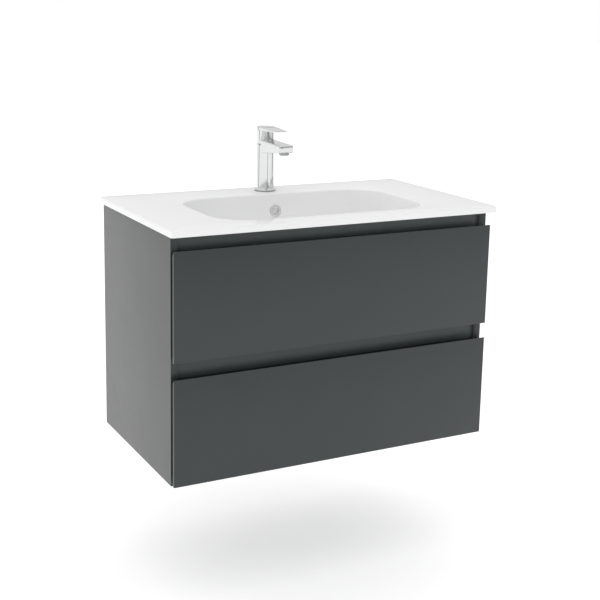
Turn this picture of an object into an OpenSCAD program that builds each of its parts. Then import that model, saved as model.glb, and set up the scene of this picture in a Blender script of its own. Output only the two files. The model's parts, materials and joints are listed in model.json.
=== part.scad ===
// Wall-hung bathroom vanity cabinet: two drawers with recessed grip channels,
// an inset basin with a single-lever tap, waste and bottle trap.
// Origin: on the wall, in the middle of the wall rail's screw line.
// +X to the cabinet's right as seen from the front, +Y towards the wall, +Z up.

/* [Cabinet] */
// Width of the cabinet body
body_w = 800; // [660:10:1200]
// Height of the cabinet body
body_h = 550; // [450:10:720]
// Depth of the cabinet body, from the wall to the front edges of its sides
body_d = 430; // [350:10:560]
// Thickness of the carcass panels
panel_t = 16; // [14:1:22]
// Distance from the top of the body down to the wall rail's screw line
rail_drop = 50; // [46:1:70]
// Distance between neighbouring screw holes of the wall rail
rail_pitch = 220; // [120:10:220]
// Diameter of the screw holes of the wall rail
rail_hole_d = 7; // [5:0.5:9]

/* [Drawer fronts and grips] */
// Thickness of a drawer front
front_t = 17; // [15:0.5:22]
// Thickness of the front's visible edge, before the rebate behind it
front_edge_t = 8; // [6:0.5:13]
// Width of the rebate behind the front's vertical edges
front_rebate = 14; // [8:1:20]
// Gap between a closed front and the front edges of the body
front_gap = 2; // [1:0.5:4]
// Height left free below the lower front
bottom_reveal = 3; // [2:0.5:8]
// Height of the grip opening between the two fronts
middle_grip_h = 36; // [30:1:50]
// Height of the grip opening between the upper front and the basin
top_grip_h = 31; // [26:1:50]
// Setback of the grip channels behind the front edges of the body
channel_setback = 6; // [4:1:12]
// Sheet thickness of the grip channels
channel_t = 2; // [1.5:0.5:3]

/* [Drawer boxes] */
// Thickness of the drawer sides and backs
box_t = 12; // [10:1:16]
// Thickness of the drawer bottoms
box_floor_t = 8; // [6:1:12]
// Space for a runner on each side of a drawer
runner_gap = 13; // [12.5:0.5:16]
// Height of a runner
runner_h = 45; // [40:1:50]
// Inner width of the recess around the trap in the upper drawer
recess_w = 190; // [120:10:260]

/* [Basin] */
// Thickness of the basin's rim slab
basin_t = 15; // [12:1:25]
// Overhang of the basin past each side of the body
basin_side_over = 10; // [4:1:20]
// Overhang of the basin past the front edges of the body
basin_front_over = 30; // [24:1:45]
// Width of the bowl at the rim
bowl_w = 534; // [360:2:560]
// Depth of the bowl below the rim
bowl_depth = 120; // [90:5:140]
// Wall thickness of the bowl
bowl_wall = 10; // [8:1:14]
// Corner radius of the bowl at the rim
bowl_corner_r = 85; // [60:5:100]
// Distance from the wall to the back edge of the bowl
bowl_back = 108; // [96:2:140]

/* [Tap] */
// Distance from the wall to the axis of the tap
tap_back = 54; // [50:1:60]
// Diameter of the tap's column
tap_d = 44; // [40:1:48]
// Reach of the spout, from the column's axis to the tip
spout_reach = 113; // [90:1:140]
// Width of the spout
spout_w = 38; // [30:1:40]
// Height of the spout's top above the basin
spout_h = 127; // [110:1:150]

/* [Waste and trap] */
// Outer diameter of the waste pipe that enters the wall
outlet_d = 32; // [32:8:40]
// Height of the outlet pipe below the bowl's floor
outlet_drop = 107; // [95:1:130]
// Length of outlet pipe behind the wall's surface
outlet_insert = 25; // [15:5:60]

/* [Hidden] */
$fn = 64;

// Colours
anthracite = "#4b5151";
board_grey = "#8b8d8c";
birch = "#d9c7a4";
steel = "#b9bcbf";
white_glaze = "#f4f4f2";
chrome = "#d4d8dc";
rubber_black = "#2b2b2b";
plastic_grey = "#9a9d9f";
brass = "#c8a95a";

// Levels and planes of the carcass
top_z = rail_drop;
bottom_z = top_z - body_h;
inner_x = body_w / 2 - panel_t;
edge_y = -body_d;
front_back_y = edge_y - front_gap;
front_y = front_back_y - front_t;
front_h = (body_h - bottom_reveal - middle_grip_h - top_grip_h) / 2;
lower_front_z = bottom_z + bottom_reveal;
lower_front_top = lower_front_z + front_h;
upper_front_z = lower_front_top + middle_grip_h;
upper_front_top = upper_front_z + front_h;
bevel_h = 22;
front_lip = 1.5;
core_reveal = 3;

// Back rails, kept off the wall to leave room for the wall rail
rail_space = 12;
back_rail_y = -rail_space - panel_t;
upper_rail_h = 140;
lower_rail_h = 100;
lower_rail_rise = 60;
hanger_notch_w = 34;
hanger_notch_z = -26;

// Grip channels
channel_y = edge_y + channel_setback;
channel_r = 9;
bend_drop = 2;
channel_drop = 38;
channel_lap = 20;
channel_lip = 5;
bracket_w = 18;
bracket_t = 2;
bracket_leg = 6;

// Drawer boxes and runners
box_x = inner_x - runner_gap;
box_clear = 4;
box_back_y = back_rail_y - box_clear;
groove = 5;
floor_rise = 4;
upper_box_z = upper_front_z + channel_lap + box_clear;
lower_box_z = bottom_z + panel_t + 6;
lower_box_top = lower_front_top - channel_drop - 15;
bowl_floor_z = top_z + basin_t - bowl_depth;
bowl_under_z = bowl_floor_z - bowl_wall;
upper_box_top = bowl_under_z - 35;
runner_front_y = edge_y + 2;
runner_len = box_back_y - runner_front_y;
middle_runner_len = runner_len - 20;
runner_sheet = 1.5;
runner_rise = 38;

// Bowl, with its centre line at the waste
bowl_front = body_d - 24;
bowl_len = bowl_front - bowl_back;
drain_y = -(bowl_front + bowl_back) / 2;
overflow_drop = 43;
overflow_r = 15;
overflow_t = 3;
overflow_sleeve = 8;

// Waste and trap
flange_r = 33;
flange_t = 2;
waste_r = 21;
waste_bore_r = 17;
waste_len = 72;
plug_r = 30;
stem_r = 4;
stem_clear = 0.05;
trap_r = 33;
trap_wall = 3;
outlet_r = outlet_d / 2;
outlet_z = bowl_floor_z - outlet_drop;
trap_top_z = outlet_z + outlet_r + 6;
trap_split_z = outlet_z - outlet_r - 30;
trap_floor_z = trap_split_z - 24;
recess_x = recess_w / 2;
recess_front_y = drain_y - trap_r - 22;

// Tap, measured up from the basin
deck_z = top_z + basin_t;
tap_r = tap_d / 2;
base_r = 27;
cartridge_r = 17.6;
turn_clear = 0.05;
seat_front_h = spout_h - 14;
seat_back_h = spout_h - 10;
cap_front_h = spout_h - 12.8;
cap_back_h = spout_h;
cap_top_h = spout_h + 34;
pivot_back = 6;
pivot_h = spout_h - 15;
pin_r = 1.5;
cap_wall = 3;
paddle_reach = 85;
paddle_tip_w = 30;
aerator_r = 12;
aerator_in = 12;
inlet_r = 4.5;
inlet_x = 8.5;
inlet_front = 4;
inlet_deep = 14;
stud_r = 4;
stud_back = 11;
stud_len = 62;
shank_r = 16;
tap_hole_r = 17.5;
base_h = 5;
shank_lift = 2;
seat_gap = 0.6;
bore_low_h = spout_h - 42;
pocket_low_h = spout_h - 40;
pocket_top_h = spout_h - 16;
aerator_low_h = spout_h - 27;
aerator_rim = 2;
aerator_recess = 3;
tip_low_h = spout_h - 21;
root_low_h = spout_h - 31;
spout_round = 3;
spout_overlap = 5;

// A block between two opposite corners
module block(from, to) {
    translate(from)
        cube(to - from);
}

// Pieces are drawn on the right-hand side and mirrored to the left
module to_left() {
    mirror([1, 0, 0])
        children();
}

module both_sides() {
    children();
    to_left()
        children();
}

// A cylinder along +X from x0 to x1
module rod_x(r, x0, x1, y, z) {
    translate([x0, y, z])
        rotate([0, 90, 0])
            cylinder(r = r, h = x1 - x0);
}

// A cylinder along +Y from y0 to y1
module rod_y(r, y0, y1, x, z) {
    translate([x, y0, z])
        rotate([-90, 0, 0])
            cylinder(r = r, h = y1 - y0);
}

// A tube standing on z0
module tube(r_out, r_in, z0, z1) {
    translate([0, 0, z0])
        difference() {
            cylinder(r = r_out, h = z1 - z0);
            translate([0, 0, -1])
                cylinder(r = r_in, h = z1 - z0 + 2);
        }
}

// ---- Fasteners of the carcass ----

cam_r = 7.5;
cam_inset = 24;
cam_depth = 12;
bolt_r = 3;
bolt_bite = 10;
dowel_r = 4;
dowel_len = 30;
joint_inset = 70;
dowel_inset = 110;
rail_joint_rise = 14;
back_rail_mid_y = back_rail_y + panel_t / 2;
panel_mid_z = bottom_z + panel_t / 2;
upper_rail_z = top_z - upper_rail_h;
lower_rail_z = bottom_z + lower_rail_rise;

module cam_bolt(y, z) {
    rod_x(bolt_r, inner_x - cam_inset, inner_x + bolt_bite, y, z);
}

module rail_cam(z) {
    rod_y(cam_r, -rail_space - cam_depth, -rail_space, inner_x - cam_inset, z);
    cam_bolt(back_rail_mid_y, z);
}

module cam_shapes() {
    both_sides() {
        for (y = [-joint_inset, edge_y + joint_inset]) {
            translate([inner_x - cam_inset, y, bottom_z])
                cylinder(r = cam_r, h = cam_depth);
            cam_bolt(y, panel_mid_z);
        }
        rail_cam(upper_rail_z + rail_joint_rise);
        rail_cam(lower_rail_z + rail_joint_rise);
    }
}

module dowel(y, z) {
    rod_x(dowel_r, inner_x + bolt_bite - dowel_len, inner_x + bolt_bite, y, z);
}

module dowel_shapes() {
    both_sides() {
        for (y = [-dowel_inset, edge_y + dowel_inset])
            dowel(y, panel_mid_z);
        for (z = [upper_rail_z, lower_rail_z])
            dowel(back_rail_mid_y, z + 3 * rail_joint_rise);
    }
}

module cam_fasteners() {
    color(steel)
        cam_shapes();
}

module wood_dowels() {
    color(birch)
        dowel_shapes();
}

module fastener_cuts() {
    cam_shapes();
    dowel_shapes();
}

// ---- Carcass ----

module side_panel() {
    color(board_grey)
        difference() {
            block([inner_x, edge_y, bottom_z], [body_w / 2, 0, top_z]);
            fastener_cuts();
        }
}

module side_panel_right() {
    side_panel();
}

module side_panel_left() {
    to_left()
        side_panel();
}

module bottom_panel() {
    color(board_grey)
        difference() {
            block([-inner_x, edge_y, bottom_z], [inner_x, -rail_space, bottom_z + panel_t]);
            fastener_cuts();
        }
}

module back_rail_upper() {
    color(board_grey)
        difference() {
            block([-inner_x, back_rail_y, upper_rail_z], [inner_x, -rail_space, top_z]);
            fastener_cuts();
            both_sides()
                block([inner_x - hanger_notch_w, back_rail_y - 1, hanger_notch_z],
                      [inner_x + 1, 0, top_z + 1]);
            at_tap()
                translate([0, 0, -basin_t - clamp_nut_h])
                    cylinder(r = clamp_r + clamp_clear, h = basin_t + clamp_nut_h);
        }
}

module back_rail_lower() {
    color(board_grey)
        difference() {
            block([-inner_x, back_rail_y, lower_rail_z],
                  [inner_x, -rail_space, lower_rail_z + lower_rail_h]);
            fastener_cuts();
        }
}

// Cross-section of a grip channel; x is the depth towards the wall, y is the height above the
// top edge of the front that it serves
module channel_section(face_top) {
    translate([0, -bend_drop])
        square([channel_t, face_top + bend_drop]);
    translate([channel_r, -bend_drop])
        intersection() {
            difference() {
                circle(r = channel_r);
                circle(r = channel_r - channel_t);
            }
            translate([-channel_r, -channel_r])
                square(channel_r);
        }
    translate([channel_r, -channel_drop])
        square([channel_t, channel_drop - bend_drop - channel_r + channel_t]);
    translate([0, face_top - channel_t])
        square([channel_t + channel_lip, channel_t]);
}

module grip_channel(front_top, face_top) {
    color(anthracite)
        translate([-inner_x, channel_y, front_top])
            rotate([90, 0, 90])
                linear_extrude(2 * inner_x)
                    channel_section(face_top);
}

module grip_channel_upper() {
    grip_channel(upper_front_top, top_grip_h);
}

module grip_channel_middle() {
    grip_channel(lower_front_top, middle_grip_h + channel_lap);
}

// An angle that screws a channel's face to the side panel
module channel_bracket(z0, z1) {
    y = channel_y + channel_t;
    block([inner_x - bracket_w, y, z0], [inner_x, y + bracket_t, z1]);
    block([inner_x - bracket_t, y + bracket_t, z0], [inner_x, y + bracket_leg, z1]);
}

module channel_brackets() {
    color(steel)
        both_sides() {
            channel_bracket(upper_front_top, upper_front_top + top_grip_h - channel_t);
            channel_bracket(lower_front_top, upper_front_z + channel_lap - channel_t);
        }
}

// Soft stops that the closed fronts meet
bumper_r = 4;
bumper_clear = 0.3;
bumper_inset = 80;
bumper_rise = 11;

module front_bumpers() {
    color(rubber_black)
        both_sides() {
            rod_y(bumper_r, front_back_y + bumper_clear, edge_y, inner_x - bumper_inset,
                  bottom_z + bumper_rise);
            rod_y(bumper_r, front_back_y + bumper_clear, channel_y, inner_x - bumper_inset,
                  upper_front_z + bumper_rise);
        }
}

// ---- Wall fixing ----

rail_t = 2.5;
rail_half_h = 20;
rail_lip_y = 9;
rail_lip_h = 8;
rail_end_gap = 1;
hook_clear = 0.5;
hanger_w = 18;
hanger_y = -92;
hanger_rim = 4;
hook_t = 3;
pad_r = 12;
pad_inset = 80;
adjuster_r = 5;
adjuster_head = 4;
adjuster_slot = 1.2;
adjuster_z = [-10, 22];

// Wall plate with an upturned lip for the hangers
module wall_rail() {
    end_x = inner_x - rail_end_gap;
    color(steel)
        difference() {
            union() {
                block([-end_x, -rail_t, -rail_half_h], [end_x, 0, rail_half_h]);
                block([-end_x, -rail_lip_y, rail_half_h - rail_t], [end_x, 0, rail_half_h]);
                block([-end_x, -rail_lip_y, rail_half_h - rail_t],
                      [end_x, -rail_lip_y + rail_t, rail_half_h + rail_lip_h]);
            }
            for (i = [-1.5:1:1.5])
                rod_y(rail_hole_d / 2, -rail_t - 1, 1, i * rail_pitch, 0);
        }
}

module wall_hanger() {
    hook_z = rail_half_h + rail_lip_h + hook_clear;
    hook_y = -rail_lip_y + rail_t + hook_clear;
    hook_x = [inner_x - hanger_w + hanger_rim, inner_x - hanger_rim];
    color(plastic_grey)
        union() {
            block([inner_x - hanger_w, hanger_y, -rail_half_h],
                  [inner_x, back_rail_y - 2, hook_z + hanger_rim]);
            block([hook_x[0], back_rail_y - hook_t, hook_z], [hook_x[1], -1, hook_z + hook_t]);
            block([hook_x[0], hook_y, rail_half_h + hook_clear], [hook_x[1], -1, hook_z + 1]);
        }
}

module wall_hanger_right() {
    wall_hanger();
}

module wall_hanger_left() {
    to_left()
        wall_hanger();
}

// Height and depth adjusting screws of the two hangers
module hanger_screws() {
    x = inner_x - hanger_w / 2;
    color(steel)
        both_sides()
            for (z = adjuster_z)
                difference() {
                    rod_y(adjuster_r, hanger_y - adjuster_head, hanger_y, x, z);
                    block([x - adjuster_r + 1, hanger_y - adjuster_head - 1, z - adjuster_slot / 2],
                          [x + adjuster_r - 1, hanger_y - adjuster_head / 2, z + adjuster_slot / 2]);
                }
}

// Pads that keep the lower back rail off the wall
module wall_pads() {
    color(rubber_black)
        both_sides()
            rod_y(pad_r, -rail_space, 0, inner_x - pad_inset, lower_rail_z + lower_rail_h / 2);
}

// ---- Runners: three nested channels on each side ----

upper_runner_z = upper_box_z + runner_rise;
lower_runner_z = lower_box_z + runner_rise;

// Steps in half height from one channel to the next, and where their webs and flanges stand
middle_step = 3;
middle_lip_step = 5.5;
inner_step = 8.5;
outer_lip = 2.5;
middle_web = 5.2;
middle_lip = 2.3;
middle_clear = 0.8;
inner_lip = 4.4;

// A web with two flanges; x is measured from the web towards +X
module flanged_web(web_x, flange_x, half_h) {
    translate([web_x, -half_h])
        square([runner_sheet, 2 * half_h]);
    for (z = [-half_h, half_h - runner_sheet])
        translate([min(web_x, flange_x), z])
            square([abs(flange_x - web_x) + (flange_x > web_x ? 0 : runner_sheet), runner_sheet]);
}

module runner_bar(z, y0, length) {
    translate([0, y0 + length, z])
        rotate([90, 0, 0])
            linear_extrude(length)
                children();
}

module runner_outer(z) {
    color(steel)
        runner_bar(z, runner_front_y, runner_len)
            flanged_web(inner_x - runner_sheet, box_x + outer_lip, runner_h / 2);
}

module runner_middle(z) {
    web_x = box_x + middle_web;
    color(steel)
        runner_bar(z, runner_front_y, middle_runner_len) {
            flanged_web(web_x, inner_x - runner_sheet - middle_clear, runner_h / 2 - middle_step);
            flanged_web(web_x, box_x + middle_lip, runner_h / 2 - middle_lip_step);
        }
}

module runner_inner(z) {
    color(steel)
        runner_bar(z, runner_front_y, runner_len)
            flanged_web(box_x, box_x + inner_lip, runner_h / 2 - inner_step);
}

module upper_runner_outer_right() {
    runner_outer(upper_runner_z);
}

module upper_runner_outer_left() {
    to_left()
        runner_outer(upper_runner_z);
}

module upper_runner_middle_right() {
    runner_middle(upper_runner_z);
}

module upper_runner_middle_left() {
    to_left()
        runner_middle(upper_runner_z);
}

module upper_runner_inner_right() {
    runner_inner(upper_runner_z);
}

module upper_runner_inner_left() {
    to_left()
        runner_inner(upper_runner_z);
}

module lower_runner_outer_right() {
    runner_outer(lower_runner_z);
}

module lower_runner_outer_left() {
    to_left()
        runner_outer(lower_runner_z);
}

module lower_runner_middle_right() {
    runner_middle(lower_runner_z);
}

module lower_runner_middle_left() {
    to_left()
        runner_middle(lower_runner_z);
}

module lower_runner_inner_right() {
    runner_inner(lower_runner_z);
}

module lower_runner_inner_left() {
    to_left()
        runner_inner(lower_runner_z);
}

// ---- Drawers ----

// Front panel with a finger bevel behind its top edge and a rebate behind its other edges
module drawer_front(z0) {
    core_x = body_w / 2 - front_rebate;
    color(anthracite)
        difference() {
            translate([-body_w / 2, front_y, z0])
                rotate([90, 0, 90])
                    linear_extrude(body_w)
                        polygon([
                            [0, 0], [front_edge_t, 0], [front_edge_t, core_reveal], [front_t, core_reveal],
                            [front_t, front_h - bevel_h], [front_lip, front_h], [0, front_h]
                        ]);
            both_sides()
                block([core_x, front_y + front_edge_t, z0 - 1],
                      [body_w / 2 + 1, front_back_y + 1, z0 + front_h + 1]);
        }
}

module drawer_side(z0, z1) {
    floor_z = z0 + floor_rise;
    color(birch)
        difference() {
            block([box_x - box_t, front_back_y, z0], [box_x, box_back_y, z1]);
            block([box_x - box_t - 1, front_back_y - 1, floor_z],
                  [box_x - box_t + groove, box_back_y + 1, floor_z + box_floor_t]);
        }
}

module drawer_floor(z0) {
    floor_z = z0 + floor_rise;
    floor_x = box_x - box_t + groove;
    block([-floor_x, front_back_y, floor_z], [floor_x, box_back_y, floor_z + box_floor_t]);
}

module drawer_back(x0, x1, z0, z1) {
    color(birch)
        block([x0, box_back_y - box_t, z0 + floor_rise + box_floor_t], [x1, box_back_y, z1]);
}

// The space that the trap needs, open to the back of the drawer
module recess_space(extra) {
    block([-recess_x - extra, recess_front_y - extra, upper_box_z - 1],
          [recess_x + extra, box_back_y + 1, upper_box_top + 1]);
}

module upper_drawer_front() {
    drawer_front(upper_front_z);
}

module upper_drawer_side_right() {
    drawer_side(upper_box_z, upper_box_top);
}

module upper_drawer_side_left() {
    to_left()
        drawer_side(upper_box_z, upper_box_top);
}

// Two equal boards, one on each side of the recess
module upper_drawer_backs() {
    both_sides()
        drawer_back(recess_x + box_t, box_x - box_t, upper_box_z, upper_box_top);
}

module upper_drawer_bottom() {
    color(birch)
        difference() {
            drawer_floor(upper_box_z);
            recess_space(box_t);
        }
}

// U-shaped wall around the trap
module upper_drawer_recess() {
    color(plastic_grey)
        difference() {
            block([-recess_x - box_t, recess_front_y - box_t, upper_box_z + floor_rise],
                  [recess_x + box_t, box_back_y, upper_box_top]);
            recess_space(0);
        }
}

module lower_drawer_front() {
    drawer_front(lower_front_z);
}

module lower_drawer_side_right() {
    drawer_side(lower_box_z, lower_box_top);
}

module lower_drawer_side_left() {
    to_left()
        drawer_side(lower_box_z, lower_box_top);
}

module lower_drawer_back() {
    drawer_back(-box_x + box_t, box_x - box_t, lower_box_z, lower_box_top);
}

module lower_drawer_bottom() {
    color(birch)
        drawer_floor(lower_box_z);
}

// ---- Basin ----

// Depth below the rim as a share of the bowl's depth, and inset from the rim's outline as a share
// of the corner radius
BOWL_SLICES = [[0, 0], [0.5, 0.1], [0.83, 0.25], [0.96, 0.45], [1, 0.65]];
slice_t = 0.5;
wall_slope = BOWL_SLICES[1][1] * bowl_corner_r / (BOWL_SLICES[1][0] * bowl_depth);

// Outline of the bowl at one level, as four upright corner posts for a hull
module bowl_corners(inset, wall, z) {
    r = max(bowl_corner_r - inset * 0.6, 20) + wall;
    x = bowl_w / 2 + wall - inset - r;
    y = bowl_len / 2 + wall - inset - r;
    for (sx = [-1, 1], sy = [-1, 1])
        translate([sx * x, drain_y + sy * y, z])
            cylinder(r = r, h = slice_t, $fn = 48);
}

// The bowl between two levels: its inner space, or with a wall its outer shape
module bowl_shape(wall, z_low, z_high) {
    hull()
        for (s = BOWL_SLICES)
            bowl_corners(s[1] * bowl_corner_r, wall, z_high - s[0] * (z_high - z_low));
}

// The overflow ring seats in a flat cut in the sloping back wall
overflow_z = deck_z - overflow_drop;
overflow_seat_y = -bowl_back - wall_slope * (overflow_drop - overflow_r);

// Overflow duct behind the bowl's back wall, and the seat for the waste under its floor
duct_w = 56;
duct_d = 26;
duct_wall = 6;
duct_y = -bowl_back - duct_wall;
duct_drop = 36;
overflow_bore_r = overflow_r - 4;
boss_r = flange_r + 4;
boss_h = 4;
waste_play = 0.5;
waste_seat_z = bowl_under_z - boss_h;

// The flat deck, with the bowl's mouth and the tap hole cut out
module basin_deck() {
    color(white_glaze)
        difference() {
            block([-body_w / 2 - basin_side_over, edge_y - basin_front_over, top_z],
                  [body_w / 2 + basin_side_over, 0, deck_z]);
            bowl_shape(0, bowl_floor_z, deck_z);
            translate([0, -tap_back, top_z - 1])
                cylinder(r = tap_hole_r, h = basin_t + 2);
        }
}

// The bowl below the deck
module basin_bowl() {
    color(white_glaze)
        difference() {
            union() {
                bowl_shape(bowl_wall, bowl_under_z, deck_z - slice_t);
                block([-duct_w / 2, duct_y, overflow_z - duct_drop],
                      [duct_w / 2, duct_y + duct_d, top_z + 1]);
                translate([0, drain_y, waste_seat_z])
                    cylinder(r = boss_r, h = bowl_wall);
            }
            block([-body_w, edge_y, top_z], [body_w, 0, deck_z + 1]);
            bowl_shape(0, bowl_floor_z, deck_z);
            rod_y(overflow_r, drain_y, overflow_seat_y, 0, overflow_z);
            rod_y(overflow_bore_r, drain_y, duct_y + duct_d - duct_wall, 0, overflow_z);
            translate([0, drain_y, waste_seat_z - 1])
                cylinder(r = waste_r + waste_play, h = boss_h + bowl_wall + 2);
        }
}

module overflow_ring() {
    y = overflow_seat_y;
    color(chrome)
        difference() {
            union() {
                rod_y(overflow_r, y - overflow_t, y, 0, overflow_z);
                rod_y(overflow_bore_r, y - 1, y + overflow_sleeve, 0, overflow_z);
            }
            rod_y(overflow_bore_r - 2, y - overflow_t - 1, y + overflow_sleeve + 1, 0, overflow_z);
        }
}

// ---- Waste ----

module at_drain() {
    translate([0, drain_y, 0])
        children();
}

// Star with a guide for the plug's stem, in the waste's bore
spider_drop = 34;
spider_h = 10;
spider_rib = 3;
guide_r = 7;
guide_h = 16;

module waste_body() {
    spider_z = bowl_floor_z - spider_drop;
    color(chrome)
        at_drain() {
            difference() {
                union() {
                    translate([0, 0, bowl_floor_z])
                        cylinder(r = flange_r, h = flange_t);
                    translate([0, 0, bowl_floor_z - waste_len])
                        cylinder(r = waste_r, h = waste_len + 1);
                }
                translate([0, 0, bowl_floor_z - waste_len - 1])
                    cylinder(r = waste_bore_r, h = waste_len + flange_t + 2);
            }
            difference() {
                union() {
                    translate([0, 0, spider_z])
                        cylinder(r = guide_r, h = guide_h);
                    for (a = [0, 120, 240])
                        rotate([0, 0, a])
                            block([0, -spider_rib / 2, spider_z],
                                  [waste_bore_r + 1, spider_rib / 2, spider_z + spider_h]);
                }
                translate([0, 0, spider_z - 1])
                    cylinder(r = stem_r + stem_clear, h = guide_h + 2);
            }
        }
}

seal_t = 2;
seal_r = 24;
seal_bore_r = 14;
seal_clear = 0.3;
seal_z = bowl_floor_z + flange_t + seal_clear;
plug_rim = 1;
plug_h = 5;
plug_stem_drop = 44;
washer_t = 3;
washer_rim = 9;
waste_nut_h = 11;
waste_nut_rim = 10;

module plug_seal() {
    color(rubber_black)
        at_drain()
            tube(seal_r, seal_bore_r, seal_z, seal_z + seal_t);
}

module waste_plug() {
    plug_z = seal_z + seal_t;
    stem_z = bowl_floor_z - plug_stem_drop;
    color(chrome)
        at_drain() {
            translate([0, 0, plug_z])
                rotate_extrude()
                    polygon([
                        [0, 0], [plug_r - plug_rim, 0], [plug_r, plug_rim], [plug_r, plug_h / 2],
                        [plug_r - 1.5 * plug_rim, plug_h - plug_rim], [0, plug_h]
                    ]);
            translate([0, 0, stem_z])
                cylinder(r = stem_r, h = plug_z + 1 - stem_z);
        }
}

module waste_washer() {
    color(rubber_black)
        at_drain()
            tube(waste_r + washer_rim, waste_r, waste_seat_z - washer_t, waste_seat_z);
}

module waste_nut() {
    z = waste_seat_z - washer_t - waste_nut_h;
    color(chrome)
        at_drain()
            translate([0, 0, z])
                difference() {
                    cylinder(r = waste_r + waste_nut_rim, h = waste_nut_h, $fn = 6);
                    translate([0, 0, -1])
                        cylinder(r = waste_r, h = waste_nut_h + 2);
                }
}

// ---- Trap ----

tail_z = bowl_floor_z - waste_len;
trap_nut_low = 10;
trap_nut_high = 12;
trap_nut_wall = 5;
pipe_wall = 1.5;
dip_gap = 0.5;
dip_rise = 4;

module trap_nut() {
    color(chrome)
        at_drain()
            difference() {
                translate([0, 0, tail_z - trap_nut_low])
                    cylinder(r = waste_r + trap_nut_wall, h = trap_nut_low + trap_nut_high);
                translate([0, 0, tail_z])
                    cylinder(r = waste_r, h = trap_nut_high + 1);
                translate([0, 0, tail_z - trap_nut_low - 1])
                    cylinder(r = outlet_r, h = trap_nut_low + 2);
            }
}

module trap_dip_tube() {
    color(chrome)
        at_drain()
            tube(outlet_r, outlet_r - pipe_wall, trap_split_z + dip_rise, tail_z - dip_gap);
}

module trap_body() {
    color(chrome)
        at_drain()
            difference() {
                translate([0, 0, trap_split_z])
                    cylinder(r = trap_r, h = trap_top_z - trap_split_z);
                translate([0, 0, trap_split_z - 1])
                    cylinder(r = trap_r - trap_wall, h = trap_top_z - trap_split_z - trap_wall + 1);
                translate([0, 0, trap_top_z - trap_wall - 1])
                    cylinder(r = outlet_r, h = trap_wall + 2);
                rod_y(outlet_r, 0, trap_r + 1, 0, outlet_z);
            }
}

module trap_cup() {
    color(chrome)
        at_drain()
            difference() {
                translate([0, 0, trap_floor_z])
                    cylinder(r = trap_r, h = trap_split_z - trap_floor_z);
                translate([0, 0, trap_floor_z + trap_wall])
                    cylinder(r = trap_r - trap_wall, h = trap_split_z - trap_floor_z);
            }
}

// A shallow groove marks how far the pipe enters the wall
module trap_outlet_pipe() {
    pipe_y = drain_y + trap_r - trap_wall;
    groove_w = 1;
    groove_deep = 0.3;
    color(chrome)
        difference() {
            union() {
                rod_y(outlet_r, pipe_y, -groove_w, 0, outlet_z);
                rod_y(outlet_r - groove_deep, -groove_w - 1, 1, 0, outlet_z);
                rod_y(outlet_r, 0, outlet_insert, 0, outlet_z);
            }
            rod_y(outlet_r - pipe_wall, pipe_y - 1, outlet_insert + 1, 0, outlet_z);
        }
}

rosette_rim = 19;
rosette_neck = 6;
rosette_h = 8;
rosette_edge = 1.5;

module wall_rosette() {
    color(chrome)
        translate([0, 0, outlet_z])
            rotate([90, 0, 0])
                rotate_extrude()
                    polygon([
                        [outlet_r, 0], [outlet_r + rosette_rim, 0], [outlet_r + rosette_rim, rosette_edge],
                        [outlet_r + rosette_neck, rosette_h], [outlet_r, rosette_h]
                    ]);
}

// ---- Tap ----

module at_tap() {
    translate([0, -tap_back, deck_z])
        children();
}

// Everything above the slanted plane that passes through the given heights at the column's
// front and back
module above_plane(front_h_at, back_h_at) {
    tilt = atan2(back_h_at - front_h_at, tap_d);
    translate([0, 0, (front_h_at + back_h_at) / 2])
        rotate([tilt, 0, 0])
            block([-60, -60, 0], [60, 60, 90]);
}

gasket_t = 1;

module tap_gasket() {
    color(rubber_black)
        at_tap()
            tube(base_r - 1, tap_hole_r, 0, gasket_t);
}

module spout() {
    translate([-spout_w / 2, 0, 0])
        rotate([90, 0, 90])
            linear_extrude(spout_w)
                polygon([
                    [-spout_overlap, root_low_h], [-tap_r, root_low_h + 1], [-spout_reach, tip_low_h],
                    [-spout_reach, spout_h - spout_round], [-tap_r, spout_h], [-spout_overlap, spout_h]
                ]);
}

module tap_body() {
    color(chrome)
        at_tap()
            difference() {
                union() {
                    translate([0, 0, gasket_t])
                        cylinder(r = base_r, h = base_h);
                    translate([0, 0, base_h])
                        cylinder(r = tap_r, h = spout_h - base_h - 1);
                    translate([0, 0, shank_lift - basin_t])
                        cylinder(r = shank_r, h = basin_t);
                    spout();
                }
                intersection() {
                    cylinder(r = tap_r + seat_gap, h = 2 * spout_h);
                    above_plane(seat_front_h, seat_back_h);
                }
                translate([0, 0, bore_low_h])
                    cylinder(r = cartridge_r, h = spout_h);
                translate([0, -spout_reach + aerator_in, pocket_low_h])
                    cylinder(r = aerator_r, h = pocket_top_h - pocket_low_h);
                for (side = [-1, 1])
                    translate([side * inlet_x, -inlet_front, 1 - basin_t])
                        cylinder(r = inlet_r, h = inlet_deep + 1);
                translate([0, stud_back, 1 - basin_t])
                    cylinder(r = stud_r, h = inlet_deep + 1);
            }
}

module tap_aerator() {
    color(chrome)
        at_tap()
            translate([0, -spout_reach + aerator_in, 0])
                difference() {
                    translate([0, 0, aerator_low_h])
                        cylinder(r = aerator_r, h = pocket_top_h - aerator_low_h);
                    translate([0, 0, aerator_low_h - 1])
                        cylinder(r = aerator_r - aerator_rim, h = aerator_recess + 1);
                }
}

// Cartridge: turns in the body and carries the lever's pivot pin in a slot for the lever's stem
rotor_rim_h = spout_h - 9;
rotor_dome_h = 4;
rotor_dome_r = 15.6;
rotor_top_r = 12;
slot_x = 4.4;
slot_front_y = -1;
slot_back_y = 15;
slot_drop = 6;

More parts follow.
